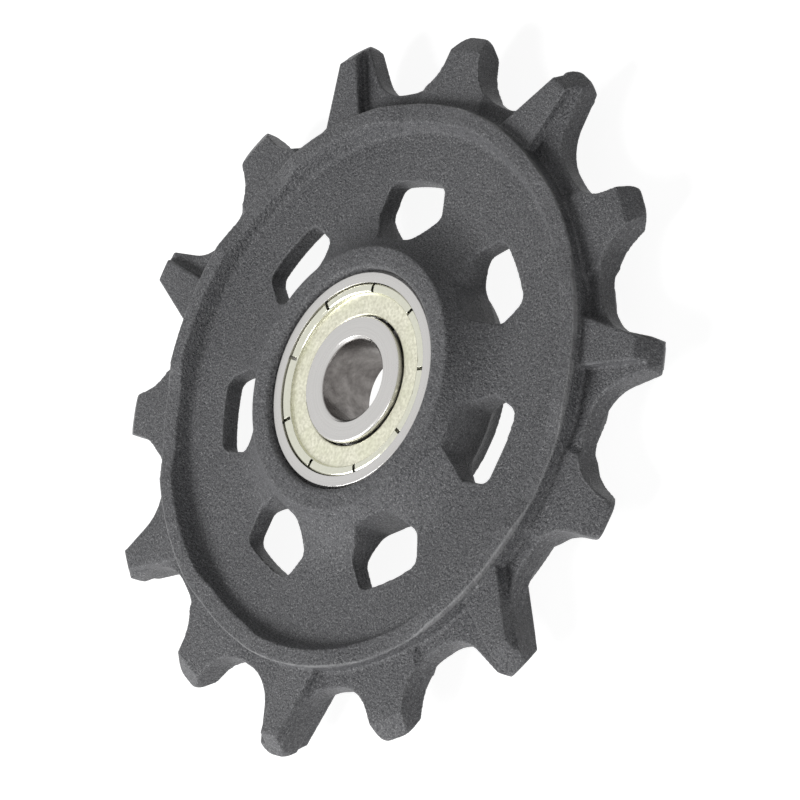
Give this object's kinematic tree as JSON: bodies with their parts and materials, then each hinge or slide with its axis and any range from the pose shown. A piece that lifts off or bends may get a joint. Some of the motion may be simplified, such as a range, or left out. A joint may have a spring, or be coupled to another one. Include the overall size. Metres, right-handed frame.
{
  "type": "derailleur jockey wheel",
  "caption": "Toothed plastic pulley for a bicycle chain, with alternate tall stepped teeth, a windowed web and a pressed-in shielded ball bearing.",
  "frame": {"origin": "on the axis of the bore, half way through the thickness of the teeth", "axes": "+Z along the bore, out of the face that the bearing is pressed in from; +Y towards the tip of a tall tooth. The wheel lies flat on the rear face of its hub."},
  "size_m": [0.0626, 0.0626, 0.0074],
  "materials": {
    "wheel_nylon": "moulded matte, short fibres showing",
    "ring_steel": "ground",
    "shield_steel": "dull zinc plate",
    "ball_steel": "polished",
    "cage_steel": "pressed, oiled"
  },
  "bodies": {
    "wheel_body": {"wheel": "wheel_nylon", "bearing_outer_ring": "ring_steel", "bearing_front_shield": "shield_steel", "bearing_rear_shield": "shield_steel"},
    "inner_ring": {"bearing_inner_ring": "ring_steel"},
    "cage": {"bearing_cage_front": "cage_steel", "bearing_cage_rear": "cage_steel", "bearing_rivet_1": "cage_steel", "bearing_rivet_2": "cage_steel", "bearing_rivet_3": "cage_steel", "bearing_rivet_4": "cage_steel", "bearing_rivet_5": "cage_steel", "bearing_rivet_6": "cage_steel", "bearing_rivet_7": "cage_steel"},
    "ball_1": {"bearing_ball_1": "ball_steel"},
    "ball_2": {"bearing_ball_2": "ball_steel"},
    "ball_3": {"bearing_ball_3": "ball_steel"},
    "ball_4": {"bearing_ball_4": "ball_steel"},
    "ball_5": {"bearing_ball_5": "ball_steel"},
    "ball_6": {"bearing_ball_6": "ball_steel"},
    "ball_7": {"bearing_ball_7": "ball_steel"}
  },
  "joints": [
    {"name": "inner_ring_spin", "type": "hinge", "parent": "wheel_body", "child": "inner_ring", "pos_m": [0, 0, 0.0005], "axis": [0, 0, 1], "continuous": true},
    {"name": "cage_spin", "type": "hinge", "parent": "wheel_body", "child": "cage", "pos_m": [0, 0, 0.0005], "axis": [0, 0, 1], "continuous": true},
    {"name": "ball_1_roll", "type": "hinge", "parent": "cage", "child": "ball_1", "pos_m": [0, 0.0065, 0.0005], "axis": [0, 0, 1], "continuous": true},
    {"name": "ball_2_roll", "type": "hinge", "parent": "cage", "child": "ball_2", "pos_m": [-0.00508, 0.00405, 0.0005], "axis": [0, 0, 1], "continuous": true},
    {"name": "ball_3_roll", "type": "hinge", "parent": "cage", "child": "ball_3", "pos_m": [-0.00634, -0.00145, 0.0005], "axis": [0, 0, 1], "continuous": true},
    {"name": "ball_4_roll", "type": "hinge", "parent": "cage", "child": "ball_4", "pos_m": [-0.00282, -0.00586, 0.0005], "axis": [0, 0, 1], "continuous": true},
    {"name": "ball_5_roll", "type": "hinge", "parent": "cage", "child": "ball_5", "pos_m": [0.00282, -0.00586, 0.0005], "axis": [0, 0, 1], "continuous": true},
    {"name": "ball_6_roll", "type": "hinge", "parent": "cage", "child": "ball_6", "pos_m": [0.00634, -0.00145, 0.0005], "axis": [0, 0, 1], "continuous": true},
    {"name": "ball_7_roll", "type": "hinge", "parent": "cage", "child": "ball_7", "pos_m": [0.00508, 0.00405, 0.0005], "axis": [0, 0, 1], "continuous": true}
  ],
  "couplings": [
    {"joint": "cage_spin", "follows": "inner_ring_spin", "ratio": 0.36539},
    {"joint": "ball_1_roll", "follows": "inner_ring_spin", "ratio": -1.7226},
    {"joint": "ball_2_roll", "follows": "inner_ring_spin", "ratio": -1.7226},
    {"joint": "ball_3_roll", "follows": "inner_ring_spin", "ratio": -1.7226},
    {"joint": "ball_4_roll", "follows": "inner_ring_spin", "ratio": -1.7226},
    {"joint": "ball_5_roll", "follows": "inner_ring_spin", "ratio": -1.7226},
    {"joint": "ball_6_roll", "follows": "inner_ring_spin", "ratio": -1.7226},
    {"joint": "ball_7_roll", "follows": "inner_ring_spin", "ratio": -1.7226}
  ]
}
